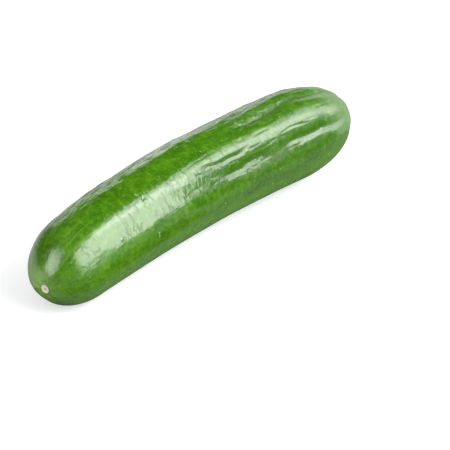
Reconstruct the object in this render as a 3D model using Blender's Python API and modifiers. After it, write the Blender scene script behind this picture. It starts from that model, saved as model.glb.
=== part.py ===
"""A whole cucumber, as picked: one grown body that lies on its belly.

Frame: metres, +Z up. +X runs from the blossom end to the stem end, along the chord of the bend.
The body bows out towards +Y, so its hollow side faces -Y. The origin is under the middle of its
box, on the surface that the cucumber lies on.
"""

from math import cos, pi, sin, sqrt

import bpy

# Driving dimensions, in metres and radians
LENGTH = 0.2000            # along the middle of the body, from pole to pole, stem stub left out
BODY_RADIUS = 0.0209       # half the thickness at the middle
BEND_ANGLE = 0.32          # turn of the middle line from one end to the other

BLOSSOM_TAPER = 0.0047     # how much thinner the body gets from its middle to the blossom end
STEM_SWELL = 0.0010        # how much thicker it gets from its middle to the stem end
BLOSSOM_DOME = 0.0230      # length of the rounded blossom end
STEM_DOME = 0.0395         # length of the longer, more pointed stem end

SCAR_RADIUS = 0.0021       # dry scar that the flower left
SCAR_DEPTH = 0.0003

STUB_RADIUS = 0.0029       # cut stem, where it leaves the fruit
STUB_END_RADIUS = 0.0025
STUB_LENGTH = 0.0032       # from the floor of its hollow to the cut
STUB_EDGE = 0.0004         # rounded edge of the cut
HOLLOW_RADIUS = 0.0055     # shallow hollow round the stem
HOLLOW_DEPTH = 0.0012

# How finely the body is divided
SIDES = 40                 # flat strips round the body; the lowest one lies on the surface
RINGS_PER_DOME = 9
RINGS_BETWEEN = 22

SKIN_GREEN = (0.085, 0.255, 0.028, 1.0)
SKIN_ROUGHNESS = 0.38


def body_radius(along):
    """Radius of the body before its ends are rounded, at a distance from the blossom pole."""
    half = LENGTH / 2
    if along < half:
        return BODY_RADIUS - BLOSSOM_TAPER * ((half - along) / half) ** 2
    return BODY_RADIUS + STEM_SWELL * ((along - half) / half) ** 2


def dome_factor(from_pole, dome_length):
    """Share of the body's radius that an elliptical end has at a distance from its pole."""
    share = min(from_pole / dome_length, 1.0)
    return sqrt(1.0 - (1.0 - share) ** 2)


def skin_radius(along):
    """Radius of the finished outline at a distance from the blossom pole."""
    factor = dome_factor(along, BLOSSOM_DOME) * dome_factor(LENGTH - along, STEM_DOME)
    return body_radius(along) * factor


def where_radius_is(radius, start, stop):
    """Distance from the blossom pole at which a dome, going from start to stop, has a radius."""
    for _ in range(60):
        middle = (start + stop) / 2
        if skin_radius(middle) < radius:
            start = middle
        else:
            stop = middle
    return (start + stop) / 2


def dome_stations(edge, inner):
    """Distances along one end, spaced evenly in angle, from the edge of its scar to its base."""
    return [inner + (edge - inner) * (1.0 - sin(pi / 2 * step / RINGS_PER_DOME))
            for step in range(RINGS_PER_DOME)]


def profile():
    """Outline from pole to pole as (distance from the blossom pole, radius) pairs."""
    scar_edge = where_radius_is(SCAR_RADIUS, 0.0, BLOSSOM_DOME)
    hollow_edge = where_radius_is(HOLLOW_RADIUS, LENGTH, LENGTH - STEM_DOME)
    hollow_floor = hollow_edge - HOLLOW_DEPTH
    stub_top = hollow_floor + STUB_LENGTH

    scar = [(scar_edge + SCAR_DEPTH, 0.0),
            (scar_edge + SCAR_DEPTH, SCAR_RADIUS - SCAR_DEPTH)]
    blossom_end = dome_stations(scar_edge, BLOSSOM_DOME)
    between = LENGTH - STEM_DOME - BLOSSOM_DOME
    straight = [BLOSSOM_DOME + between * step / RINGS_BETWEEN for step in range(RINGS_BETWEEN + 1)]
    stem_end = dome_stations(hollow_edge, LENGTH - STEM_DOME)[::-1]
    stub = [(hollow_floor, (HOLLOW_RADIUS + STUB_RADIUS) / 2),
            (hollow_floor, STUB_RADIUS),
            (stub_top - STUB_EDGE, STUB_END_RADIUS),
            (stub_top, STUB_END_RADIUS - STUB_EDGE),
            (stub_top, 0.0)]
    skin = [(along, skin_radius(along)) for along in blossom_end + straight + stem_end]
    return scar + skin + stub


def turned_body():
    """The cucumber as if it had grown straight: its outline turned about a standing axis."""
    outline = profile()[::-1]
    points = [(radius, 0.0, along) for along, radius in outline]
    edges = [(i, i + 1) for i in range(len(points) - 1)]
    mesh = bpy.data.meshes.new("outline")
    mesh.from_pydata(points, edges, [])
    blank = bpy.data.objects.new("outline", mesh)
    bpy.context.scene.collection.objects.link(blank)

    turn = blank.modifiers.new("turn", "SCREW")
    turn.axis = "Z"
    turn.angle = 2 * pi
    turn.steps = SIDES
    turn.render_steps = SIDES
    turn.use_merge_vertices = True
    turn.merge_threshold = 0.00001

    bpy.context.view_layer.update()
    evaluated = blank.evaluated_get(bpy.context.evaluated_depsgraph_get())
    turned = bpy.data.meshes.new_from_object(evaluated)
    bpy.data.objects.remove(blank)
    bpy.data.meshes.remove(mesh)
    return turned


def lay_down(mesh):
    """Tip the body over along +X and let its belly touch the surface along its whole length."""
    facet_turn = pi / SIDES
    for vertex in mesh.vertices:
        across, upward, along = vertex.co
        level = across * cos(facet_turn) - upward * sin(facet_turn)
        height = across * sin(facet_turn) + upward * cos(facet_turn)
        strip_height = body_radius(along) * cos(pi / SIDES)
        vertex.co = (along - LENGTH / 2, -height, strip_height + level)


def bend(mesh):
    """Swing each slice of the body round an upright axis that stands on its hollow side."""
    bend_radius = LENGTH / BEND_ANGLE
    for vertex in mesh.vertices:
        angle = vertex.co.x / bend_radius
        reach = bend_radius + vertex.co.y
        vertex.co.x = reach * sin(angle)
        vertex.co.y = reach * cos(angle) - bend_radius


def centre_on_surface(mesh):
    """Put the origin under the middle of the body, at the surface."""
    lows = [min(vertex.co[axis] for vertex in mesh.vertices) for axis in range(3)]
    highs = [max(vertex.co[axis] for vertex in mesh.vertices) for axis in range(3)]
    middle = [(low + high) / 2 for low, high in zip(lows, highs)]
    for vertex in mesh.vertices:
        vertex.co.x -= middle[0]
        vertex.co.y -= middle[1]
        vertex.co.z -= lows[2]


def skin_material():
    """Glossy green skin."""
    material = bpy.data.materials.new("cucumber_skin")
    material.use_nodes = True
    shader = material.node_tree.nodes["Principled BSDF"]
    shader.inputs["Base Color"].default_value = SKIN_GREEN
    shader.inputs["Roughness"].default_value = SKIN_ROUGHNESS
    shader.inputs["Metallic"].default_value = 0.0
    return material


def main():
    for old in list(bpy.data.objects):
        bpy.data.objects.remove(old)

    collection = bpy.data.collections.new("whole_cucumber")
    bpy.context.scene.collection.children.link(collection)

    mesh = turned_body()
    mesh.name = "cucumber"
    lay_down(mesh)
    bend(mesh)
    centre_on_surface(mesh)
    mesh.shade_smooth()
    mesh.materials.clear()
    mesh.materials.append(skin_material())

    cucumber = bpy.data.objects.new("cucumber", mesh)
    collection.objects.link(cucumber)


main()
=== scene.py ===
# %% [markdown]
# # A whole cucumber, lying on a table
#
# This lesson models one salad cucumber. It grew as one piece, so it is one mesh: an outline turned
# round a long axis, then shaped the way the fruit is shaped, with soft ribs, wrinkles, warts, the dry
# scar of the flower at one end and the cut stem at the other. The solid that it replaces is loaded
# first. Its box gives the place, and everything here is in metres.

# %% Load the frame
import random
from math import cos, hypot, pi, radians, sin
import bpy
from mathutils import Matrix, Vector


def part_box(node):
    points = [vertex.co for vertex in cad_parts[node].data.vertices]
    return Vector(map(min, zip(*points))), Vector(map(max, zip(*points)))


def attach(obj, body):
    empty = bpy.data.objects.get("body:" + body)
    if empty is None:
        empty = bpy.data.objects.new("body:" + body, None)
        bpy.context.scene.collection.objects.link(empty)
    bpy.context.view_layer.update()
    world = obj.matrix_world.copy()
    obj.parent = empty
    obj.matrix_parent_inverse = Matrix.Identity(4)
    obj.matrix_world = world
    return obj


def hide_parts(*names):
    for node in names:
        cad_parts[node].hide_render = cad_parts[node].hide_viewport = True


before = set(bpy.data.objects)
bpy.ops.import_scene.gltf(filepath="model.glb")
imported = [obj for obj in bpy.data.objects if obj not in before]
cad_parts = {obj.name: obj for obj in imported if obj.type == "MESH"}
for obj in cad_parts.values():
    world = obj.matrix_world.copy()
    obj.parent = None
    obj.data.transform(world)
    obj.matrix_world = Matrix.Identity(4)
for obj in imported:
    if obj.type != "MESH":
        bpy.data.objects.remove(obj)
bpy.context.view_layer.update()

from types import SimpleNamespace

import bmesh
import bpy
import numpy as np
from mathutils import Vector, noise

NODE_LOW, NODE_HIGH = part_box("cucumber")
MM = 0.001
print("solid box, mm:", [round(side / MM, 1) for side in NODE_HIGH - NODE_LOW])

# %% [markdown]
# ## The camera
#
# A long lens from about 0.7 m looks down on the cucumber at 31 degrees, with the flower's end near and
# the stem's end far. `HEADING` is the angle that the cucumber's length makes with the picture's level
# edge, seen from above. The plain view transform is set, so that white stays white.

# %% Place the camera
HEADING = radians(47.9)
TILT = radians(31.0)
DISTANCE = 0.694
LENS = 120.2
LOOK_AT = Vector((0.0088, -0.0098, -0.0016))

camera_right = Vector((cos(HEADING), -sin(HEADING), 0.0))
level_ahead = Vector((sin(HEADING), cos(HEADING), 0.0))
view_direction = level_ahead * cos(TILT) - Vector((0.0, 0.0, sin(TILT)))

camera_data = bpy.data.cameras.new("camera")
camera_data.lens = LENS
camera = bpy.data.objects.new("camera", camera_data)
camera.location = LOOK_AT - view_direction * DISTANCE
camera.rotation_euler = view_direction.to_track_quat("-Z", "Y").to_euler()
bpy.context.scene.collection.objects.link(camera)
bpy.context.scene.camera = camera
bpy.context.scene.view_settings.view_transform = "Standard"
print("camera at", [round(c, 3) for c in camera.location])

# %% [markdown]
# ## The soft light
#
# One large square-edged softbox stands to the right, and a narrower one carries it on towards the far
# end. Their reflection is the pale band along the flank. Two white screens stand behind and glance off
# the far edge. The other panels light only the matt part of things. Two of them fill in behind the
# softboxes, so that the gloss and the green can be set apart, and one hangs overhead, where it would
# otherwise lay a grey veil over the green. Panels could be given in watts, but then a larger one would
# look dimmer, so the helper takes the brightness of the panel's face.

# %% Hang the panels
def direction(turn, rise):
    """A direction at an angle to the right of straight ahead and at an angle above the table."""
    level = level_ahead * cos(radians(turn)) + camera_right * sin(radians(turn))
    return level * cos(radians(rise)) + Vector((0.0, 0.0, sin(radians(rise))))


AIM_HEIGHT = Vector((0.0, 0.0, 0.02))


def softbox(name, turn, rise, distance, width, height, radiance, glossy=True):
    """A rectangular panel that faces the middle of the cucumber and gives a known radiance."""
    data = bpy.data.lights.new(name, "AREA")
    data.shape = "RECTANGLE"
    data.size = width
    data.size_y = height
    data.energy = radiance * width * height * pi
    panel = bpy.data.objects.new(name, data)
    towards = direction(turn, rise)
    panel.location = towards * distance + AIM_HEIGHT
    panel.rotation_euler = (-towards).to_track_quat("-Z", "Y").to_euler()
    panel.visible_glossy = glossy
    panel.visible_camera = False
    bpy.context.scene.collection.objects.link(panel)


softbox("key_softbox", 112, 28, 3.5, 3.3, 3.1, 4.3)
softbox("side_softbox", 72, 28, 3.5, 1.4, 3.1, 3.1)
softbox("key_fill", 112, 28, 3.6, 3.3, 3.1, 2.3, glossy=False)
softbox("side_fill", 72, 28, 3.6, 1.4, 3.1, 1.3, glossy=False)
softbox("rear_screen", 29, 11, 3.4, 6.0, 1.6, 1.22)
softbox("rear_left_screen", -22, 17, 3.4, 1.8, 1.4, 1.1)
softbox("overhead_panel", 0, 88, 1.6, 2.4, 2.4, 0.78, glossy=False)

# %% [markdown]
# ## The table
#
# A plain pale sheet, one flat grid, large enough to run out of every view. A camera meets it as white
# paper with some light of its own, so that it fades into the backdrop and still takes a soft shadow.
# Everything else meets it as dark grey, because white paper would show in the gloss of the lower flank
# and make the green milky.

# %% Lay the table
TABLE_HALF = 3.0
PAPER_SEEN = (0.64, 0.65, 0.66, 1.0)
PAPER_REFLECTED = (0.19, 0.195, 0.20, 1.0)
PAPER_GLOW = 0.47
MATT_ROUGHNESS = 0.9
MATT_SPECULAR = 0.1

table_mesh = bpy.data.meshes.new("table")
with_table = bmesh.new()
bmesh.ops.create_grid(with_table, x_segments=2, y_segments=2, size=TABLE_HALF)
with_table.to_mesh(table_mesh)
with_table.free()
table = bpy.data.objects.new("table", table_mesh)
bpy.context.scene.collection.objects.link(table)


def matt(name, tone):
    """A matt material of one tone."""
    made = bpy.data.materials.new(name)
    made.use_nodes = True
    shader = made.node_tree.nodes["Principled BSDF"]
    shader.inputs["Base Color"].default_value = tone
    shader.inputs["Roughness"].default_value = MATT_ROUGHNESS
    shader.inputs["Specular IOR Level"].default_value = MATT_SPECULAR
    return made


paper = matt("white_paper", PAPER_SEEN)
paper_shader = paper.node_tree.nodes["Principled BSDF"]
paper_seen = paper.node_tree.nodes.new("ShaderNodeLightPath")
paper_glow = paper.node_tree.nodes.new("ShaderNodeMath")
paper_glow.operation = "MULTIPLY"
paper_glow.inputs[1].default_value = PAPER_GLOW
paper_shade = paper.node_tree.nodes.new("ShaderNodeMix")
paper_shade.data_type = "RGBA"
paper_shade.inputs[6].default_value = PAPER_REFLECTED
paper_shade.inputs[7].default_value = PAPER_SEEN
for start, end in ((paper_seen.outputs["Is Camera Ray"], paper_glow.inputs[0]),
                   (paper_seen.outputs["Is Camera Ray"], paper_shade.inputs[0]),
                   (paper_glow.outputs[0], paper_shader.inputs["Emission Strength"]),
                   (paper_shade.outputs[2], paper_shader.inputs["Base Color"])):
    paper.node_tree.links.new(start, end)
table_mesh.materials.append(paper)
print("table", 2 * TABLE_HALF, "m wide")

# %% [markdown]
# ## Cards for the reflections
#
# Glossy things show what stands round them. A black card stands low beside the far half and hides the
# lower half of the softboxes from most of the flank. Another lies in front of the near half and hides
# the table. Two white cards lie behind, which make the far edge pale. All four are seen only by
# reflections, so they can stand close to the fruit without a shadow.

# %% Set the cards
def card(name, middle, side, other_side, material):
    """A rectangle from its middle and its two sides, seen only by reflections."""
    mesh = bpy.data.meshes.new(name)
    work = bmesh.new()
    bmesh.ops.create_grid(work, x_segments=1, y_segments=1, size=0.5)
    for corner in work.verts:
        corner.co = Vector(middle) + Vector(side) * corner.co.x + Vector(other_side) * corner.co.y
    work.to_mesh(mesh)
    work.free()
    made = bpy.data.objects.new(name, mesh)
    bpy.context.scene.collection.objects.link(made)
    made.visible_camera = False
    made.visible_shadow = False
    made.visible_diffuse = False
    mesh.materials.append(material)
    print(name, "has its middle at", middle)


black = matt("black_card", (0.02, 0.03, 0.015, 1.0))
white = matt("white_card", (0.58, 0.58, 0.58, 1.0))
card("standing_card", (0.067, -0.058, 0.0300), (0.114, 0.0, -0.016), (0.0, 0.0, 0.060), black)
card("lying_card", (-0.075, -0.072, 0.0008), (0.160, 0.0, 0.0), (0.0, 0.084, 0.0), black)
card("white_card", (0.050, 0.262, 0.0006), (0.80, 0.0, 0.0), (0.0, 0.50, 0.0), white)
card("far_white_card", (0.360, -0.020, 0.0009), (0.46, 0.0, 0.0), (0.0, 0.40, 0.0), white)

# %% [markdown]
# ## The backdrop and the glow
#
# A camera sees a plain white backdrop. Reflections see a nearly black room instead, with one soft glow
# behind the camera's left shoulder, which puts a dim gleam on the flower's end. A panel would do the
# same, but its edges would show in the gloss, where a glow fades out. The world tells the two apart by
# the kind of ray.

# %% Hang the backdrop
GLOW_TOWARDS = direction(-128, 33)
GLOW_EDGE = radians(35)
GLOW_CORE = radians(6)
GLOW_STRENGTH = 4.1
ROOM_STRENGTH = 0.008

world = bpy.data.worlds.new("studio")
bpy.context.scene.world = world
world.use_nodes = True
sky = world.node_tree
sky.nodes.clear()
sky_out = sky.nodes.new("ShaderNodeOutputWorld")
sky_where = sky.nodes.new("ShaderNodeTexCoord")
sky_aim = sky.nodes.new("ShaderNodeVectorMath")
sky_aim.operation = "DOT_PRODUCT"
sky_aim.inputs[1].default_value = GLOW_TOWARDS
sky_glow = sky.nodes.new("ShaderNodeMapRange")
sky_glow.interpolation_type = "SMOOTHSTEP"
sky_glow.inputs["From Min"].default_value = cos(GLOW_EDGE)
sky_glow.inputs["From Max"].default_value = cos(GLOW_CORE)
sky_glow.inputs["To Min"].default_value = ROOM_STRENGTH
sky_glow.inputs["To Max"].default_value = GLOW_STRENGTH
sky_light = sky.nodes.new("ShaderNodeBackground")
sky_backdrop = sky.nodes.new("ShaderNodeBackground")
sky_backdrop.inputs["Color"].default_value = (1.0, 1.0, 1.0, 1.0)
sky_seen = sky.nodes.new("ShaderNodeLightPath")
sky_mix = sky.nodes.new("ShaderNodeMixShader")
for start, end in ((sky_where.outputs["Generated"], sky_aim.inputs[0]),
                   (sky_aim.outputs["Value"], sky_glow.inputs["Value"]),
                   (sky_glow.outputs["Result"], sky_light.inputs["Strength"]),
                   (sky_seen.outputs["Is Camera Ray"], sky_mix.inputs["Fac"]),
                   (sky_light.outputs["Background"], sky_mix.inputs[1]),
                   (sky_backdrop.outputs["Background"], sky_mix.inputs[2]),
                   (sky_mix.outputs["Shader"], sky_out.inputs["Surface"])):
    sky.links.new(start, end)
print("glow at", [round(c, 2) for c in GLOW_TOWARDS])

# %% [markdown]
# ## The outline
#
# A cucumber is nearly a turned shape. From the flower's end it swells to its full thickness, holds it,
# and narrows in a longer dome to the stem. It could be drawn by hand, but a few sizes keep it the same
# as the solid that it replaces.

# %% Sizes of the body
LENGTH = 0.2000
BODY_RADIUS = 0.0209
BEND_ANGLE = 0.32
BLOSSOM_TAPER = 0.0047
STEM_SWELL = 0.0010
BLOSSOM_DOME = 0.0230
STEM_DOME = 0.0395
SCAR_RADIUS = 0.0021
STUB_RADIUS = 0.0029
STUB_END_RADIUS = 0.0025
STUB_LENGTH = 0.0032
HOLLOW_RADIUS = 0.0055
HOLLOW_DEPTH = 0.0012
print("length and greatest thickness, mm:", LENGTH / MM, 2 * BODY_RADIUS / MM)

# %% [markdown]
# ## Drawing it
#
# The outline runs over the scar, the body, the hollow and the stem, from one pole to the other. Points
# at even distances along the axis would crowd in the middle and leave the domes coarse, so they are
# spaced evenly over the skin.

# %% Draw the outline
SIDES = 330
BODY_RINGS = 262
SCAR_RINGS = 12
STUB_RINGS = 7


def body_radius(along):
    """Radius before the ends are rounded, at a distance from the flower's end."""
    share = (along - LENGTH / 2) / (LENGTH / 2)
    return BODY_RADIUS + np.where(share < 0, -BLOSSOM_TAPER, STEM_SWELL) * share ** 2


def dome_factor(from_pole, dome_length):
    """How much of the full radius an elliptical end has, at a distance from its pole."""
    share = np.clip(from_pole / dome_length, 0.0, 1.0)
    return np.sqrt(1.0 - (1.0 - share) ** 2)


def outline_radius(along):
    """Radius of the smooth outline, domes included."""
    domes = dome_factor(along, BLOSSOM_DOME) * dome_factor(LENGTH - along, STEM_DOME)
    return body_radius(along) * domes


def body_outline():
    """Evenly spaced points (along, radius) from the edge of the scar to the edge of the hollow."""
    fine = np.linspace(0.0, 1.0, 4001) ** 2
    along = np.unique(np.concatenate([fine * LENGTH / 2, LENGTH - fine * LENGTH / 2]))
    radius = outline_radius(along)
    first = np.searchsorted(radius[:len(radius) // 2], SCAR_RADIUS)
    last = len(radius) - 1 - np.argmax(radius[::-1] > HOLLOW_RADIUS)
    along, radius = along[first:last + 1], radius[first:last + 1]
    walked = np.concatenate([[0.0], np.cumsum(np.hypot(np.diff(along), np.diff(radius)))])
    steps = np.linspace(0.0, walked[-1], BODY_RINGS)
    return list(zip(np.interp(steps, walked, along), np.interp(steps, walked, radius)))


def outline():
    """Points (along, radius) from the middle of the flower's scar to the middle of the cut stem."""
    body = body_outline()
    scar = [(body[0][0], SCAR_RADIUS * step / SCAR_RINGS) for step in range(SCAR_RINGS)]
    floor = body[-1][0] - HOLLOW_DEPTH
    slope = [(body[-1][0] - HOLLOW_DEPTH * (1 - cos(pi * step / STUB_RINGS)) / 2,
              HOLLOW_RADIUS + (STUB_RADIUS - HOLLOW_RADIUS) * step / STUB_RINGS)
             for step in range(1, STUB_RINGS + 1)]
    wall = [(floor + STUB_LENGTH * step / STUB_RINGS,
             STUB_RADIUS + (STUB_END_RADIUS - STUB_RADIUS) * step / STUB_RINGS)
            for step in range(1, STUB_RINGS + 1)]
    cut = [(floor + STUB_LENGTH, STUB_END_RADIUS * (1 - step / STUB_RINGS))
           for step in range(1, STUB_RINGS + 1)]
    return scar + body + slope + wall + cut


points = outline()
print(len(points), "points in the outline;", round(points[-1][0] / MM, 1), "mm long")

# %% [markdown]
# ## Turning it
#
# The outline is a chain of vertices, drawn below the axis so that the seam runs along the belly. One
# spin of a full circle makes the skin, and its first and last columns merge. The poles are merged
# after that, because each is still a ring of vertices in one place.

# %% Spin the outline
def turned(name, outline_points, sides):
    """A closed mesh turned round +X from an outline of (along, radius) points."""
    work = bmesh.new()
    along, radius = outline_points[0]
    tip = bmesh.ops.create_vert(work, co=(along, 0.0, -radius))["vert"][0]
    for along, radius in outline_points[1:]:
        grown = bmesh.ops.extrude_vert_indiv(work, verts=[tip])
        tip = grown["verts"][0]
        tip.co = (along, 0.0, -radius)
    bmesh.ops.spin(work, geom=work.verts[:] + work.edges[:], cent=(0, 0, 0), axis=(1, 0, 0),
                   angle=2 * pi, steps=sides, use_merge=True)
    bmesh.ops.remove_doubles(work, verts=work.verts[:], dist=1e-7)
    bmesh.ops.recalc_face_normals(work, faces=work.faces[:])
    mesh = bpy.data.meshes.new(name)
    work.to_mesh(mesh)
    work.free()
    return mesh


skin_mesh = turned("cucumber_skin", points, SIDES)
print(len(skin_mesh.vertices), "vertices,", len(skin_mesh.polygons), "faces")

# %% [markdown]
# ## Reading the turned shape
#
# Everything that follows moves vertices, so their places are read into arrays once: how far along the
# fruit, at what angle round it and how far from the axis. The angle is 0 on top and grows towards +Y,
# which is the far side of the fruit. It is negative on the side that faces the camera.

# %% Places on the fruit
count = len(skin_mesh.vertices)
straight = np.empty(count * 3)
skin_mesh.vertices.foreach_get("co", straight)
straight = straight.reshape(-1, 3)
along = straight[:, 0].copy()
angle = np.arctan2(straight[:, 1], straight[:, 2])
radius = np.hypot(straight[:, 1], straight[:, 2])
share = np.clip(along / LENGTH, 0.0, 1.0)


def smooth_step(value, start, stop):
    """A soft change from 0 to 1 as a value goes from start to stop."""
    t = np.clip((value - start) / (stop - start), 0.0, 1.0)
    return t * t * (3.0 - 2.0 * t)


SEED_SHIFT = 17.3


def skin_noise(along_size, around_size, seed):
    """Smooth noise over the skin, from -1 to 1, with one size along the fruit and one round it."""
    places = np.stack([along / along_size + seed * SEED_SHIFT,
                       BODY_RADIUS * np.sin(angle) / around_size,
                       BODY_RADIUS * np.cos(angle) / around_size], axis=1)
    return np.array([noise.noise(Vector(place)) for place in places])


# How much skin there is at a place: 0 on the scar and the stub, 1 on the body
on_skin = smooth_step(radius, SCAR_RADIUS, 0.007) * smooth_step(LENGTH - along, 0.0015, 0.006)
print("from", round(along.min() / MM, 1), "to", round(along.max() / MM, 1), "mm along")

# %% [markdown]
# ## Ribs and grooves
#
# Vascular bundles run the length of a cucumber and raise soft ribs, with a groove between each two. Near
# the flower they hardly show. Towards the stem they are deep enough to break the light. The ribs are one
# low wave round the fruit. The grooves are listed: the angle round the fruit in degrees, where along the
# length the groove starts to deepen, its depth and its half width in millimetres. Each wanders a little as
# it runs and gets deeper and shallower, because an even one would look cut.

# %% Press in the grooves
GROOVES = (
    (-58, 0.40, 0.85, 2.4),
    (-14, 0.50, 0.95, 2.2),
    (7, 0.54, 0.30, 2.2),
    (30, 0.10, 0.58, 2.6),
    (75, 0.35, 0.50, 2.8),
    (121, 0.45, 0.45, 3.0),
    (166, 0.50, 0.38, 2.8),
    (-150, 0.40, 0.42, 3.0),
    (-104, 0.30, 0.36, 3.2),
)
RIBS = 8
RIB_AT = radians(-36)
RIB_HEIGHT = 0.00022
WAVE_POINTS = 800


def wave(size, seed):
    """Smooth noise along the fruit only, from about -1 to 1."""
    steps = np.linspace(-0.01, LENGTH + 0.01, WAVE_POINTS)
    heights = [2.0 * noise.noise(Vector((step / size, seed * SEED_SHIFT, 0.5))) for step in steps]
    return np.interp(along, steps, heights)


def away_from(turn):
    """Distance over the skin to a line that runs at an angle, in metres."""
    return ((angle - turn + pi) % (2 * pi) - pi) * np.maximum(radius, 0.004)


groove = np.zeros(count)
for number, (turn, start, depth, half_width) in enumerate(GROOVES):
    line = radians(turn) + radians(3.5) * wave(0.017, number) + radians(3) * wave(0.06, number + 10)
    grown_in = 0.10 + 0.90 * smooth_step(share, start, start + 0.18)
    uneven = 1.0 + 0.35 * wave(0.020, number + 20)
    dent = depth * MM * grown_in * uneven * np.exp(-(away_from(line) / (half_width * MM)) ** 2)
    groove = np.maximum(groove, dent)
fade_at_stem = 1.0 - 0.6 * smooth_step(share, 0.88, 0.98)
toward_stem = smooth_step(share, 0.30, 0.62) * fade_at_stem
groove *= on_skin * fade_at_stem
ribs = RIB_HEIGHT * np.cos(RIBS * (angle - RIB_AT)) * on_skin * toward_stem
print(len(GROOVES), "grooves; deepest, mm:", round(groove.max() / MM, 2))

# %% [markdown]
# ## Creases
#
# Thin creases run beside the grooves. A few are listed one by one, where the light falls: the angle in
# degrees, the share of the length at the middle, half the length as a share, and the depth and half
# width in millimetres. The first is broad and soft, and narrows the pale band. The rest are drawn at
# random towards the stem. They are shallower low on the near side, where a dark line would show.

# %% Press in the creases
CREASES = [
    (-46, 0.52, 0.130, 0.42, 1.50),
    (-43, 0.47, 0.060, 0.20, 0.65),
    (-44, 0.60, 0.055, 0.20, 0.65),
    (-49, 0.66, 0.050, 0.20, 0.55),
    (-46, 0.76, 0.060, 0.18, 0.55),
    (-36, 0.66, 0.035, 0.16, 0.55),
    (-5, 0.60, 0.130, 0.22, 0.70),
    (3, 0.50, 0.090, 0.12, 0.80),
    (-64, 0.52, 0.060, 0.20, 0.60),
]
CREASE_COUNT = 170
CALM_AT = -105
CALM_DEPTH = 0.35
dice = random.Random(5)
while len(CREASES) < CREASE_COUNT:
    CREASES.append((dice.uniform(-180, 180), dice.triangular(0.38, 0.94, 0.66), dice.uniform(0.02, 0.08),
                    dice.uniform(0.06, 0.20), dice.uniform(0.45, 0.75)))

crease = np.zeros(count)
for number, (turn, middle, half_length, depth, half_width) in enumerate(CREASES):
    line = radians(turn) + radians(2.4) * wave(0.010, number + 40)
    ends = 1.0 - smooth_step(np.abs(share - middle), 0.4 * half_length, half_length)
    calmed = CALM_DEPTH + (1.0 - CALM_DEPTH) * smooth_step(abs(turn - CALM_AT), 25, 45)
    dent = depth * MM * ends * np.exp(-(away_from(line) / (half_width * MM)) ** 2)
    crease = np.maximum(crease, dent * calmed)
crease *= on_skin
print(len(CREASES), "creases; deepest, mm:", round(crease.max() / MM, 2))

# %% [markdown]
# ## Crumples
#
# In some places the skin is crumpled, with small folds that run round the fruit, a few millimetres
# apart. It happens where the fruit has lost water and the skin is too large for it. Each place is given
# by its share of the length, its angle, its reach both ways and how strongly it is folded. The folds
# are pillows of noise, with a crease wherever the noise passes through zero.

# %% Raise the crumples
CRUMPLED = (
    (0.45, -57, 0.085, 14, 1.0),
    (0.62, -70, 0.10, 12, 0.6),
    (0.72, -8, 0.12, 9, 0.8),
    (0.66, 70, 0.20, 30, 0.35),
    (0.40, 130, 0.22, 30, 0.30),
    (0.72, 175, 0.16, 30, 0.30),
    (0.33, -120, 0.16, 20, 0.35),
)
FOLD_HEIGHT = 0.00010


def pillows(along_size, around_size, seed):
    """Rounded bumps with sharp creases between them, from -1 in a crease to about 1."""
    return 2.6 * np.abs(skin_noise(along_size, around_size, seed)) ** 0.8 - 1.0


crumpled = np.zeros(count)
for middle, turn, reach_along, reach_around, strength in CRUMPLED:
    off_along = (share - middle) / reach_along
    off_around = away_from(radians(turn)) / (BODY_RADIUS * radians(reach_around))
    off = np.hypot(off_along, off_around)
    crumpled = np.maximum(crumpled, strength * (1.0 - smooth_step(off, 0.5, 1.3)))
crumpled *= 0.55 + 0.45 * smooth_step(skin_noise(0.008, 0.005, 8), -0.15, 0.25)
folds = FOLD_HEIGHT * pillows(0.0095, 0.0034, 6) * crumpled
print("crumpled share of the skin:", round(float((crumpled > 0.1).mean()), 2))

# %% [markdown]
# ## Lumps and long folds
#
# The fruit is slightly three-sided, because it grew from three carpels, and slightly lumpy. Its far
# side and its stem half have longer, softer folds. The far side is also up to 1.3 mm fuller than the
# plain solid, which keeps to a round section.

# %% Raise the lumps and sum up the relief
CARPELS = 3
LOBE_HEIGHT = 0.00022
LUMP_HEIGHT = 0.00026
LONG_FOLD_HEIGHT = 0.00040
ROUND_FOLD_HEIGHT = 0.00018
FULLER_AT = (0.0, 0.05, 0.12, 0.25, 0.35, 0.6, 0.78, 0.88, 0.97)
FULLER_BY = (0.5, 1.3, 1.2, 0.8, 0.7, 0.95, 1.30, 1.0, 0.3)

lobes = LOBE_HEIGHT * np.cos(CARPELS * angle + 0.6)
lumps = LUMP_HEIGHT * skin_noise(0.034, 0.020, 3)
backward = smooth_step(np.cos(angle - radians(85)), -0.22, 0.42) * smooth_step(share, 0.05, 0.14)
long_folds = (LONG_FOLD_HEIGHT * skin_noise(0.0110, 0.0042, 7)
              + ROUND_FOLD_HEIGHT * skin_noise(0.0060, 0.0060, 9))
wrinkles = folds + long_folds * (0.20 * toward_stem + 0.80 * backward)
upper_back = smooth_step(np.cos(angle - radians(45)), -0.6, 0.7)
fuller = np.interp(share, FULLER_AT, FULLER_BY) * MM
relief = (lobes + lumps + wrinkles + fuller * upper_back) * on_skin + ribs - groove - crease
print("wrinkles reach", round(wrinkles.max() / MM, 2), "mm")

# %% [markdown]
# ## Warts
#
# Smooth cucumbers keep a few small warts where the young fruit had spines. Each is a pale bump about a
# millimetre wide. Their places are random but seeded, and they keep clear of both ends.

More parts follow.
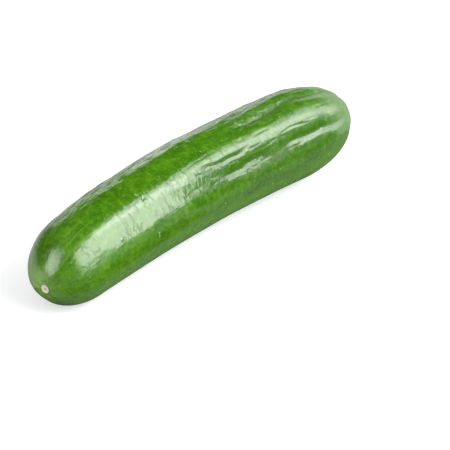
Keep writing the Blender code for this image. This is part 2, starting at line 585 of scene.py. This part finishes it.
# %% Raise the warts
WARTS = 90
WART_SPREAD = 0.00055
WART_HEIGHT = 0.00022
dice = random.Random(11)
wart = np.zeros(count)
for _ in range(WARTS):
    wart_along = LENGTH * dice.uniform(0.10, 0.93)
    wart_angle = dice.uniform(-pi, pi)
    size = dice.uniform(0.7, 1.25)
    near = np.abs(along - wart_along) < 4 * WART_SPREAD
    turn = (angle[near] - wart_angle + pi) % (2 * pi) - pi
    away = np.hypot(along[near] - wart_along, turn * radius[near])
    wart[near] = np.maximum(wart[near], np.exp(-(away / (WART_SPREAD * size)) ** 2) * min(size, 1.0))
relief = relief + WART_HEIGHT * wart
print(WARTS, "warts")

# %% [markdown]
# ## The flower's scar
#
# The flower leaves a round dry scar: a thin raised rim round a shallow dish, with a pit in its middle.
# The skin dips a little towards it and puckers in short folds. All of it is a push along the axis, so it
# can be written as a few soft rings round the pole.

# %% Shape the scar
DIP_DEPTH = 0.00055
SCAR_RIM_HEIGHT = 0.00016
SCAR_MOAT_DEPTH = 0.00022
PUCKERS = 8
PUCKER_HEIGHT = 0.00010
PIT_DEPTH = 0.00018
PIT_RADIUS = 0.0006

flower_side = along < LENGTH / 2
scar_rim = np.exp(-((radius - SCAR_RADIUS * 0.92) / 0.00022) ** 2) * flower_side
scar_moat = np.exp(-((radius - SCAR_RADIUS * 1.25) / 0.00035) ** 2) * flower_side
dip = np.exp(-(radius / 0.0052) ** 2) * flower_side
pucker = np.cos(PUCKERS * angle + 0.9) * np.exp(-((radius - 0.0045) / 0.0022) ** 2) * flower_side
pit = np.exp(-(radius / PIT_RADIUS) ** 2) * flower_side
scar_push = (DIP_DEPTH * dip - SCAR_RIM_HEIGHT * scar_rim + SCAR_MOAT_DEPTH * scar_moat
             + PUCKER_HEIGHT * pucker - PIT_DEPTH * pit)
print("the flower's end dips by", round(scar_push.max() / MM, 2), "mm")

# %% [markdown]
# ## The cut stem
#
# At the other end a short piece of the stem is left, cut square, in a shallow hollow. A cucumber's stem
# is five-sided and fibrous, so its round wall gets five soft corners and fifteen fine ridges.

# %% Shape the stem
STEM_CORNERS = 5
CORNER_HEIGHT = 0.045
STEM_RIDGES = 15
RIDGE_HEIGHT = 0.00012

on_stub = ~flower_side & (radius < STUB_RADIUS * 1.02)
five_sided = 1.0 + CORNER_HEIGHT * np.cos(STEM_CORNERS * angle) * on_stub
stem_ridges = RIDGE_HEIGHT * np.cos(STEM_RIDGES * angle) * on_stub * (radius > 0.0012)
print(int(on_stub.sum()), "vertices on the stem")

# %% [markdown]
# ## From straight to bent
#
# So far the fruit is straight. The relief is added square to the outline. Each slice is then lowered
# until its belly touches the table, and swung round an upright axis on the hollow side, which bends the
# whole. The flower's end leans a little further. The skin is pressed flat where it bears on the table.
# The last step moves it over the solid's box.

# %% Bend the fruit and lay it down
TIP_LEAN = 0.0018
TIP_DROP = 0.0003
TIP_REACH = 0.024
STEM_LONGER = 0.0010
BEND_RADIUS = LENGTH / BEND_ANGLE
PRESS = 0.00025

stations = np.linspace(0, LENGTH, 2001)
slope = np.gradient(outline_radius(stations), LENGTH / 2000)
out_along = -np.interp(along, stations, slope)
out_along = np.where(on_skin > 0, out_along, 0.0)
out_length = np.sqrt(1.0 + out_along ** 2)
shaped_radius = radius * five_sided + stem_ridges + relief / out_length
shaped_along = along + relief * out_along / out_length + scar_push
shaped_along = shaped_along + STEM_LONGER * smooth_step(share, 0.80, 0.98)
lean = (1.0 - np.clip(along / TIP_REACH, 0.0, 1.0)) ** 2
sideways = shaped_radius * np.sin(angle) - TIP_LEAN * lean
height = body_radius(np.clip(along, 0, LENGTH)) + shaped_radius * np.cos(angle) - TIP_DROP * lean

pressed = PRESS * np.exp(np.minimum(height / PRESS - 2.0, 0.0)) + PRESS
height = np.where(height < 2 * PRESS, pressed, height) - PRESS

swing = (shaped_along - LENGTH / 2) / BEND_RADIUS
reach = BEND_RADIUS + sideways
placed = np.stack([reach * np.sin(swing), reach * np.cos(swing) - BEND_RADIUS, height], axis=1)
to_solid = (np.array(NODE_LOW) + np.array(NODE_HIGH) - placed.min(axis=0) - placed.max(axis=0)) / 2
placed[:, :2] += to_solid[:2]
skin_mesh.vertices.foreach_set("co", placed.ravel())
skin_mesh.update()
skin_mesh.shade_smooth()
print("skin box, mm:", [round(float(side) / MM, 1) for side in placed.max(axis=0) - placed.min(axis=0)])

# %% [markdown]
# ## What the material needs to know
#
# The pattern on the skin follows the fruit, not the table, so each vertex keeps where it was on the
# straight fruit. Grooves, warts, crumples and the far side are kept as masks, because the material
# can't work them out again.

# %% Keep the masks
def keep(name, values):
    """Store one value for each vertex, under a name that the material reads."""
    layer = skin_mesh.attributes.new(name, "FLOAT", "POINT")
    layer.data.foreach_set("value", np.asarray(values, dtype=np.float32))


grown = skin_mesh.attributes.new("grown", "FLOAT_VECTOR", "POINT")
grown.data.foreach_set("vector", straight.astype(np.float32).ravel())
# The hollow and relief masks only darken the colour in the grooves, creases and wrinkle hollows: painted
# shade.
keep("hollow", groove / (0.8 * MM) + crease / (0.15 * MM))
keep("wart", wart)
keep("relief", wrinkles / 0.0002 * on_skin)
keep("crumpled", crumpled * on_skin)
keep("backward", backward * on_skin)
print("kept:", [layer.name for layer in skin_mesh.attributes if not layer.is_internal])

# %% [markdown]
# ## Unrolling the skin
#
# The map for baking is the skin unrolled: once round is the full width, and pole to pole is the full
# height, measured over the skin. Each vertex looks for the outline point that it came from. At a pole,
# where all angles meet, each face takes its own.

# %% Unroll the skin
walked = np.array([0.0] + [hypot(b[0] - a[0], b[1] - a[1]) for a, b in zip(points, points[1:])]).cumsum()
walked /= walked[-1]
rings = np.array(points)
places, place_of = np.unique(np.round(np.stack([along, radius], axis=1), 6), axis=0, return_inverse=True)
gaps = np.hypot(places[:, :1] - rings[:, 0], places[:, 1:] - rings[:, 1])
vertex_v = walked[gaps.argmin(axis=1)][place_of.ravel()]
print("furthest from its ring, mm:", round(gaps.min(axis=1).max() / MM, 4))

corner_vertex = np.empty(len(skin_mesh.loops), dtype=np.int32)
skin_mesh.loops.foreach_get("vertex_index", corner_vertex)
face_size = np.empty(len(skin_mesh.polygons), dtype=np.int32)
skin_mesh.polygons.foreach_get("loop_total", face_size)
corner_face = np.repeat(np.arange(len(face_size)), face_size)
corner_turn = (angle[corner_vertex] + pi) / (2 * pi)
at_pole = radius[corner_vertex] < 1e-6
# angle of each face, from the corners that aren't on a pole
weights = (~at_pole).astype(float)
face_x = np.bincount(corner_face, np.cos(2 * pi * corner_turn) * weights)
face_y = np.bincount(corner_face, np.sin(2 * pi * corner_turn) * weights)
face_turn = (np.arctan2(face_y, face_x) / (2 * pi)) % 1.0
corner_u = np.where(at_pole, face_turn[corner_face], corner_turn)
corner_u += np.round(face_turn[corner_face] - corner_u)
corner_uv = np.stack([corner_u, vertex_v[corner_vertex]], axis=1).astype(np.float32)
unrolled = skin_mesh.uv_layers.new(name="OFBake")
unrolled.data.foreach_set("uv", corner_uv.ravel())
print("unrolled from", corner_u.min().round(4), "to", corner_u.max().round(4))

# %% [markdown]
# ## Small tools for the material
#
# The skin's pattern is built from a few masks. Writing out every node and link would hide the idea, so
# these helpers let a chain of nodes read like arithmetic.

# %% Helpers for node trees
def node(tree, kind, inputs=None, **settings):
    """A node with its settings, and its inputs set to values or linked to sockets."""
    made = tree.nodes.new(kind)
    for name, value in settings.items():
        setattr(made, name, value)
    for name, value in (inputs or {}).items():
        if isinstance(value, bpy.types.NodeSocket):
            tree.links.new(value, made.inputs[name])
        else:
            made.inputs[name].default_value = value
    return made


def maths(tree, operation, first, second=0.0):
    """One sum on two values."""
    return node(tree, "ShaderNodeMath", {0: first, 1: second}, operation=operation).outputs[0]


def times(tree, first, second):
    return maths(tree, "MULTIPLY", first, second)


def plus(tree, first, second):
    return maths(tree, "ADD", first, second)


def ramp(tree, value, low, high, to_low=0.0, to_high=1.0):
    """A smooth change from one value to another, as the input goes from low to high."""
    inputs = {"Value": value, "From Min": low, "From Max": high, "To Min": to_low, "To Max": to_high}
    return node(tree, "ShaderNodeMapRange", inputs, interpolation_type="SMOOTHSTEP").outputs["Result"]


def blend(tree, amount, first, second):
    """A mix of two colours."""
    return node(tree, "ShaderNodeMix", {0: amount, 6: first, 7: second}, data_type="RGBA").outputs[2]


def cloud(tree, place, scale, detail, **more):
    """Noise at a place, from 0 to 1."""
    inputs = {"Vector": place, "Scale": scale, "Detail": detail, **more}
    return node(tree, "ShaderNodeTexNoise", inputs).outputs[0]


def stretched(tree, place, along_size, around_size):
    """The place on the fruit, measured in cells of one size along the fruit and one round it."""
    cell = node(tree, "ShaderNodeCombineXYZ", {0: along_size, 1: around_size, 2: around_size})
    return node(tree, "ShaderNodeVectorMath", {0: place, 1: cell.outputs[0]}, operation="DIVIDE").outputs[0]


FLOAT, VECTOR = "NodeSocketFloat", "NodeSocketVector"


def new_group(name, inputs, output):
    """An empty node group with one value out, and its input and output nodes."""
    tree = bpy.data.node_groups.new(name, "ShaderNodeTree")
    for socket, kind, value in inputs:
        made = tree.interface.new_socket(socket, in_out="INPUT", socket_type=kind)
        if value is not None:
            made.default_value = value
    tree.interface.new_socket(output, in_out="OUTPUT", socket_type=FLOAT)
    return tree, tree.nodes.new("NodeGroupInput"), tree.nodes.new("NodeGroupOutput")


def use_group(tree, group, **inputs):
    """A group placed in a tree, with its own values."""
    return node(tree, "ShaderNodeGroup", inputs, node_tree=group).outputs[0]


# %% [markdown]
# ## Streaks
#
# Pale lines run from the flower's end and fade out along the body. They follow the fruit, so they are
# drawn on the direction round the axis, stretched along the length. That makes them meet at the scar,
# as the real ones do.

# %% Group: pale streaks
def streak_group():
    tree, given, result = new_group(
        "pale_streaks",
        [("Place", VECTOR, None), ("Fineness", FLOAT, 6.0), ("Stretch", FLOAT, 25.0), ("Cut", FLOAT, 0.55),
         ("Softness", FLOAT, 0.12)], "Mask")
    parts = node(tree, "ShaderNodeSeparateXYZ", {0: given.outputs["Place"]})
    across = node(tree, "ShaderNodeCombineXYZ", {1: parts.outputs[1], 2: parts.outputs[2]})
    unit = node(tree, "ShaderNodeVectorMath", {0: across.outputs[0]}, operation="NORMALIZE")
    fine = node(tree, "ShaderNodeVectorMath", {0: unit.outputs[0], "Scale": given.outputs["Fineness"]},
                operation="SCALE")
    lengthwise = times(tree, parts.outputs[0], given.outputs["Stretch"])
    shift = node(tree, "ShaderNodeCombineXYZ", {0: lengthwise})
    where = node(tree, "ShaderNodeVectorMath", {0: fine.outputs[0], 1: shift.outputs[0]}, operation="ADD")
    lines = cloud(tree, where.outputs[0], 1.0, 3.0, Roughness=0.6)
    top = plus(tree, given.outputs["Cut"], given.outputs["Softness"])
    mask = ramp(tree, lines, given.outputs["Cut"], top)
    tree.links.new(mask, result.inputs["Mask"])
    return tree


streaks = streak_group()
print("group:", streaks.name)

# %% [markdown]
# ## Specks
#
# The skin is dusted with pale pores, well under a millimetre across. A cell pattern gives one dot to
# each cell, and a second draw on the cell's own random value makes them differ in size.

# %% Group: pale specks
def speck_group():
    tree, given, result = new_group(
        "pale_specks",
        [("Place", VECTOR, None), ("Spacing", FLOAT, 0.002), ("Size", FLOAT, 0.2), ("Share", FLOAT, 0.6)],
        "Mask")
    per_metre = maths(tree, "DIVIDE", 1.0, given.outputs["Spacing"])
    cells = node(tree, "ShaderNodeTexVoronoi", {"Vector": given.outputs["Place"], "Scale": per_metre})
    dice_roll = node(tree, "ShaderNodeSeparateColor", {0: cells.outputs["Color"]})
    kept = maths(tree, "LESS_THAN", dice_roll.outputs[0], given.outputs["Share"])
    size = times(tree, given.outputs["Size"], plus(tree, dice_roll.outputs[1], 0.5))
    dot = ramp(tree, cells.outputs["Distance"], size, times(tree, size, 0.35))
    tree.links.new(times(tree, dot, kept), result.inputs["Mask"])
    return tree


specks = speck_group()
print("group:", specks.name)

# %% [markdown]
# ## Wrinkles
#
# Rounded pillows of skin with sharp creases between them, a few millimetres apart. A crease runs where a
# noise passes through its middle value, and the skin rises on both sides of it.

# %% Group: wrinkles
def wrinkle_group():
    tree, given, result = new_group(
        "wrinkles", [("Place", VECTOR, None), ("Along", FLOAT, 0.002), ("Around", FLOAT, 0.006)], "Height")
    where = stretched(tree, given.outputs["Place"], given.outputs["Along"], given.outputs["Around"])
    rolling = cloud(tree, where, 1.0, 1.0, Distortion=0.7)
    off_middle = maths(tree, "ABSOLUTE", maths(tree, "SUBTRACT", rolling, 0.5))
    height = maths(tree, "POWER", times(tree, off_middle, 4.0), 1.2)
    tree.links.new(height, result.inputs["Height"])
    return tree


wrinkled = wrinkle_group()
print("group:", wrinkled.name)

# %% [markdown]
# ## Crackle
#
# Dark cracks, up to half a millimetre wide, cross the gloss. They are the borders of a cell
# pattern. The cells are longer round the fruit than along it, so most cracks run round it. Noise bends
# them, and a second, broader noise leaves them out in patches.

# %% Group: crackle
BEND_SCALE = 260.0
BEND_AMOUNT = 0.8
PATCH_SCALE = 170.0


def crackle_group():
    tree, given, result = new_group(
        "crackle",
        [("Place", VECTOR, None), ("Along", FLOAT, 0.004), ("Around", FLOAT, 0.010), ("Width", FLOAT, 0.05),
         ("Share", FLOAT, 0.5)], "Mask")
    place = given.outputs["Place"]
    squeezed = stretched(tree, place, given.outputs["Along"], given.outputs["Around"])
    bend_by = node(tree, "ShaderNodeTexNoise", {"Vector": place, "Scale": BEND_SCALE, "Detail": 2.0})
    centred = node(tree, "ShaderNodeVectorMath", {0: bend_by.outputs["Color"], 1: (0.5, 0.5, 0.5)},
                   operation="SUBTRACT")
    push = node(tree, "ShaderNodeVectorMath", {0: centred.outputs[0], "Scale": BEND_AMOUNT},
                operation="SCALE")
    bent = node(tree, "ShaderNodeVectorMath", {0: squeezed, 1: push.outputs[0]}, operation="ADD")
    cells = node(tree, "ShaderNodeTexVoronoi", {"Vector": bent.outputs[0], "Scale": 1.0},
                 feature="DISTANCE_TO_EDGE")
    line = ramp(tree, cells.outputs["Distance"], given.outputs["Width"], 0.0)
    patchy = cloud(tree, place, PATCH_SCALE, 1.0)
    kept = ramp(tree, plus(tree, patchy, given.outputs["Share"]), 0.98, 1.1)
    tree.links.new(times(tree, line, kept), result.inputs["Mask"])
    return tree


crackle = crackle_group()
print("group:", crackle.name)

# %% [markdown]
# ## Reading the masks
#
# The skin is one material. It starts from what the vertices kept: the place on the straight fruit, from
# which come the distance from the flower's end and from the axis, and the masks. They are read once and
# handed on together.

# %% Start the material
skin_look = bpy.data.materials.new("cucumber_skin")
skin_look.use_nodes = True
skin_tree = skin_look.node_tree
skin_shader = skin_tree.nodes["Principled BSDF"]


def read_masks(tree):
    """The masks and distances that the skin's colour, gloss and bumps are made from."""
    masks = {name: node(tree, "ShaderNodeAttribute", attribute_name=name).outputs["Fac"]
             for name in ("hollow", "wart", "relief", "crumpled", "backward")}
    place = node(tree, "ShaderNodeAttribute", attribute_name="grown").outputs["Vector"]
    parts = node(tree, "ShaderNodeSeparateXYZ", {0: place})
    across = node(tree, "ShaderNodeCombineXYZ", {1: parts.outputs[1], 2: parts.outputs[2]}).outputs[0]
    from_axis = node(tree, "ShaderNodeVectorMath", {0: across}, operation="LENGTH").outputs["Value"]
    outward = node(tree, "ShaderNodeVectorMath", {0: across}, operation="NORMALIZE").outputs[0]
    mottle = cloud(tree, place, 330.0, 4.0, Roughness=0.65)
    return SimpleNamespace(place=place, from_flower=parts.outputs[0], sideways=parts.outputs[1],
                           upward=parts.outputs[2], from_axis=from_axis, outward=outward,
                           mottle=mottle, **masks)


masks = read_masks(skin_tree)
print("masks:", sorted(vars(masks)))

# %% [markdown]
# ## The green
#
# The green is deepest towards the stem, yellower near the flower and palest underneath, where the fruit lay
# in the shade. It is also darker in the grooves, the creases and the low parts of the wrinkles, which is
# painted shade. Noise at four sizes mixes the greens, from patches of nearly two centimetres to a grain of
# about a millimetre, because no part of a real skin is one colour.

# %% Mix the greens
DEEP = (0.034, 0.120, 0.0022, 1.0)
FRESH = (0.057, 0.180, 0.0037, 1.0)
YELLOWISH = (0.081, 0.224, 0.0056, 1.0)
BELLY = (0.112, 0.270, 0.0185, 1.0)


def grown_green(tree, masks):
    """The skin's own colour, before marks are laid over it."""
    patches = cloud(tree, masks.place, 60.0, 3.0)
    clouds = cloud(tree, masks.place, 150.0, 2.0)
    grain = cloud(tree, masks.place, 800.0, 2.0)
    green = blend(tree, ramp(tree, patches, 0.35, 0.68), DEEP, FRESH)
    green = blend(tree, ramp(tree, masks.from_flower, 0.05, 0.0, 0.0, 0.3), green, YELLOWISH)
    green = blend(tree, ramp(tree, masks.from_flower, 0.115, 0.165, 0.0, 0.45), green, DEEP)
    green = blend(tree, ramp(tree, clouds, 0.50, 0.34, 0.0, 0.6), green, DEEP)
    green = blend(tree, ramp(tree, clouds, 0.52, 0.66, 0.0, 0.35), green, YELLOWISH)
    green = blend(tree, ramp(tree, masks.mottle, 0.45, 0.68, 0.0, 0.8), green, YELLOWISH)
    green = blend(tree, ramp(tree, masks.mottle, 0.50, 0.32, 0.0, 0.7), green, DEEP)
    green = blend(tree, ramp(tree, grain, 0.52, 0.68, 0.0, 0.50), green, YELLOWISH)
    green = blend(tree, ramp(tree, grain, 0.48, 0.34, 0.0, 0.55), green, DEEP)
    level = maths(tree, "DIVIDE", masks.upward, BODY_RADIUS)
    green = blend(tree, ramp(tree, level, 0.1, -0.9, 0.0, 0.75), green, BELLY)
    # Painted shade: darker in the grooves and creases, and in the low parts of the wrinkles.
    green = blend(tree, times(tree, masks.hollow, 0.55), green, DEEP)
    return blend(tree, ramp(tree, masks.relief, 0.0, -1.2, 0.0, 0.5), green, DEEP)


colour = grown_green(skin_tree, masks)
print("greens:", DEEP, FRESH, YELLOWISH, BELLY)

# %% [markdown]
# ## Streaks, specks and wart tops
#
# The pale marks come next, with the groups made above. Streaks fade out over the first six centimetres.
# The specks come in two sizes, and each wart gets a dry, pale top.

# %% Lay on the pale marks
PALE = (0.173, 0.353, 0.0370, 1.0)
WART_TOP = (0.34, 0.46, 0.14, 1.0)


def with_pale_marks(tree, masks, green):
    place = masks.place
    wide = use_group(tree, streaks, Place=place, Fineness=5.0, Stretch=14.0, Cut=0.55, Softness=0.14)
    thin = use_group(tree, streaks, Place=place, Fineness=16.0, Stretch=34.0, Cut=0.58, Softness=0.10)
    lines = maths(tree, "MAXIMUM", times(tree, wide, 0.6), thin)
    fade = ramp(tree, masks.from_flower, 0.060, 0.004)
    green = blend(tree, times(tree, lines, times(tree, fade, 0.30)), green, PALE)

    pores = use_group(tree, specks, Place=place, Spacing=0.0019, Size=0.26, Share=0.55)
    dust = use_group(tree, specks, Place=place, Spacing=0.0009, Size=0.30, Share=0.35)
    dots = maths(tree, "MAXIMUM", pores, times(tree, dust, 0.6))
    green = blend(tree, times(tree, dots, 0.30), green, PALE)
    return blend(tree, times(tree, ramp(tree, masks.wart, 0.25, 0.9), 0.7), green, WART_TOP)


colour = with_pale_marks(skin_tree, masks, colour)
print("pale marks:", PALE, WART_TOP)

# %% [markdown]
# ## Cracks in the gloss
#
# Hair cracks cross the waxy outer skin. They only show where the gloss is bright, so they gather on one
# line along the flank, and fade towards the stem and at both ends. They darken the colour here, which is
# painted shade in the cracks, and later dull the gloss and sink a little.

# %% Place the cracks
CRACKLE_AT = radians(-47)


def crack_mask(tree, masks):
    """Where the cracks are, from 0 to 1."""
    place = masks.place
    coarse = use_group(tree, crackle, Place=place, Along=0.0050, Around=0.0220, Width=0.050, Share=0.58)
    fine = use_group(tree, crackle, Place=place, Along=0.0024, Around=0.0110, Width=0.070, Share=0.42)
    cracks = maths(tree, "MAXIMUM", coarse, times(tree, fine, 0.7))
    cracks = times(tree, cracks, ramp(tree, masks.from_axis, 0.004, 0.010))
    cracks = times(tree, cracks, ramp(tree, masks.from_flower, 0.004, 0.02))
    cracks = times(tree, cracks, ramp(tree, masks.from_flower, 0.085, 0.130, 1.0, 0.30))
    flank = (0.0, sin(CRACKLE_AT), cos(CRACKLE_AT))
    facing = node(tree, "ShaderNodeVectorMath", {0: masks.outward, 1: flank}, operation="DOT_PRODUCT")
    on_flank = ramp(tree, facing.outputs["Value"], cos(radians(32)), cos(radians(12)), 0.10, 1.0)
    return times(tree, cracks, on_flank)


cracks = crack_mask(skin_tree, masks)
# Painted shade: the cracks darken the colour towards the deep green.
colour = blend(skin_tree, times(skin_tree, cracks, 0.75), colour, DEEP)
print("cracks gather at", round(CRACKLE_AT, 2), "radians")

# %% [markdown]
# ## The colours of the ends
#
# Round the flower's scar the skin is pale. It is paler still towards the far side, and that extra pale is
# painted light from the glow on that side. The scar is dry cork with a darker pit, and a thin dark line
# runs round it. The stem is duller than the skin, and its cut is pale and woody. Each is a ring round the
# axis, kept to its own end.

# %% Colour the scar and the stem
SCAR_PALE = (0.24, 0.50, 0.048, 1.0)
SCAR_EDGE = (0.030, 0.075, 0.010, 1.0)
PIT = (0.50, 0.40, 0.24, 1.0)
CORK = (0.88, 0.86, 0.62, 1.0)
STEM_GREEN = (0.10, 0.19, 0.045, 1.0)
STEM_CUT = (0.32, 0.33, 0.15, 1.0)


def with_scar(tree, masks, green):
    """The colour with the flower's scar laid on, and a mask of the scar."""
    near = ramp(tree, masks.from_axis, 0.0125, 0.0024)
    near = times(tree, near, ramp(tree, masks.from_flower, 0.03, 0.01))
    # Paler towards the far side: painted light from the glow on that side.
    near = times(tree, near, ramp(tree, masks.sideways, -0.006, 0.003, 0.25, 1.0))
    green = blend(tree, times(tree, near, 0.75), green, SCAR_PALE)
    flower_end = ramp(tree, masks.from_flower, 0.012, 0.008)
    scar = times(tree, ramp(tree, masks.from_axis, SCAR_RADIUS, SCAR_RADIUS * 0.88), flower_end)
    edge = times(tree, ramp(tree, masks.from_axis, SCAR_RADIUS * 1.35, SCAR_RADIUS * 1.05), flower_end)
    green = blend(tree, times(tree, edge, 0.60), green, SCAR_EDGE)
    corky = blend(tree, ramp(tree, masks.from_axis, 0.00035, 0.0008), PIT, CORK)
    return blend(tree, scar, green, corky), scar


def with_stem(tree, masks, green):
    """The colour with the cut stem laid on, and masks of the stem and of its cut."""
    stem_end = ramp(tree, masks.from_flower, LENGTH - 0.008, LENGTH - 0.003)
    stub = times(tree, ramp(tree, masks.from_axis, STUB_RADIUS * 1.5, STUB_RADIUS * 1.05), stem_end)
    cut = times(tree, ramp(tree, masks.from_axis, STUB_END_RADIUS * 1.02, STUB_END_RADIUS * 0.9), stem_end)
    green = blend(tree, stub, green, STEM_GREEN)
    return blend(tree, times(tree, cut, 0.9), green, STEM_CUT), stub, cut


colour, scar_mask = with_scar(skin_tree, masks, colour)
colour, stub_mask, cut_mask = with_stem(skin_tree, masks, colour)
skin_tree.links.new(colour, skin_shader.inputs["Base Color"])
print("ends:", CORK, STEM_GREEN, STEM_CUT)

# %% [markdown]
# ## The gloss
#
# The skin is waxed and smooth in its near half. It is duller towards the stem, at both tips, in the
# cracks and where it is crumpled. The scar and the stem are dry. The strong wax is a high index of
# refraction, which brightens the gloss without blurring it.

# %% Set the gloss
DRY_ROUGHNESS = 0.75
WAX_INDEX = 1.9


def skin_roughness(tree, masks, cracks, dry):
    rough = ramp(tree, masks.mottle, 0.3, 0.75, 0.13, 0.18)
    rough = plus(tree, rough, ramp(tree, masks.from_flower, 0.06, 0.15, 0.0, 0.10))
    rough = plus(tree, rough, ramp(tree, masks.from_flower, 0.165, 0.200, 0.0, 0.12))
    rough = plus(tree, rough, ramp(tree, masks.from_flower, 0.034, 0.012, 0.0, 0.08))
    rough = plus(tree, rough, times(tree, cracks, 0.28))
    rough = plus(tree, rough, times(tree, masks.crumpled, 0.22))
    return node(tree, "ShaderNodeMix", {0: dry, 2: rough, 3: DRY_ROUGHNESS}).outputs[0]


dry_stem = maths(skin_tree, "MAXIMUM", cut_mask, times(skin_tree, stub_mask, 0.6))
dry = maths(skin_tree, "MAXIMUM", scar_mask, dry_stem)
skin_tree.links.new(skin_roughness(skin_tree, masks, cracks, dry), skin_shader.inputs["Roughness"])
skin_shader.inputs["Metallic"].default_value = 0.0
skin_shader.inputs["IOR"].default_value = WAX_INDEX
print("index of refraction:", WAX_INDEX)

# %% [markdown]
# ## The finest relief
#
# Folds too fine for the mesh are a bump: crumples, the long folds of the far side, fibres that run along
# the fruit and are stronger at the flower's end, a ripple of a few millimetres and the sunken cracks.
# Moving vertices would need a mesh ten times as dense. All heights are in millimetres.

# %% Raise the bumps
def bump_height(tree, masks, cracks):
    """Height of the finest relief, in millimetres."""
    place, from_flower = masks.place, masks.from_flower
    crumple = plus(tree, masks.crumpled, ramp(tree, from_flower, 0.05, 0.12, 0.01, 0.07))
    across_folds = use_group(tree, wrinkled, Place=place, Along=0.0046, Around=0.0085)
    along_folds = use_group(tree, wrinkled, Place=place, Along=0.0120, Around=0.0046)
    height = plus(tree, times(tree, across_folds, 0.50), times(tree, along_folds, 0.28))
    height = times(tree, height, crumple)
    back_folds = cloud(tree, stretched(tree, place, 0.0120, 0.0034), 1.0, 1.5, Distortion=0.4)
    height = plus(tree, height, times(tree, back_folds, times(tree, masks.backward, 0.95)))
    fibres = cloud(tree, stretched(tree, place, 0.0060, 0.0008), 1.0, 2.0)
    height = plus(tree, height, times(tree, fibres, ramp(tree, from_flower, 0.008, 0.030, 0.09, 0.035)))
    coarse = cloud(tree, stretched(tree, place, 0.0080, 0.0017), 1.0, 2.0)
    height = plus(tree, height, times(tree, coarse, ramp(tree, from_flower, 0.010, 0.026, 0.15, 0.0)))
    height = plus(tree, height, times(tree, masks.mottle, 0.025))
    ripple = cloud(tree, place, 290.0, 1.0)
    height = plus(tree, height, times(tree, ripple, 0.09))
    return maths(tree, "SUBTRACT", height, times(tree, cracks, 0.03))


skin_bump = node(skin_tree, "ShaderNodeBump", {"Strength": 1.0, "Distance": MM,
                                               "Height": bump_height(skin_tree, masks, cracks)})
skin_tree.links.new(skin_bump.outputs[0], skin_shader.inputs["Normal"])
skin_mesh.materials.append(skin_look)
print(len(skin_tree.nodes), "nodes in the skin's material")

# %% [markdown]
# ## Putting it in place
#
# The finished skin stands for the plain solid, which is hidden, and moves with the row's only body.

# %% Attach and finish
skin = bpy.data.objects.new("cucumber_skin", skin_mesh)
bpy.context.scene.collection.objects.link(skin)
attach(skin, "root")
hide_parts("cucumber")

bpy.context.view_layer.update()
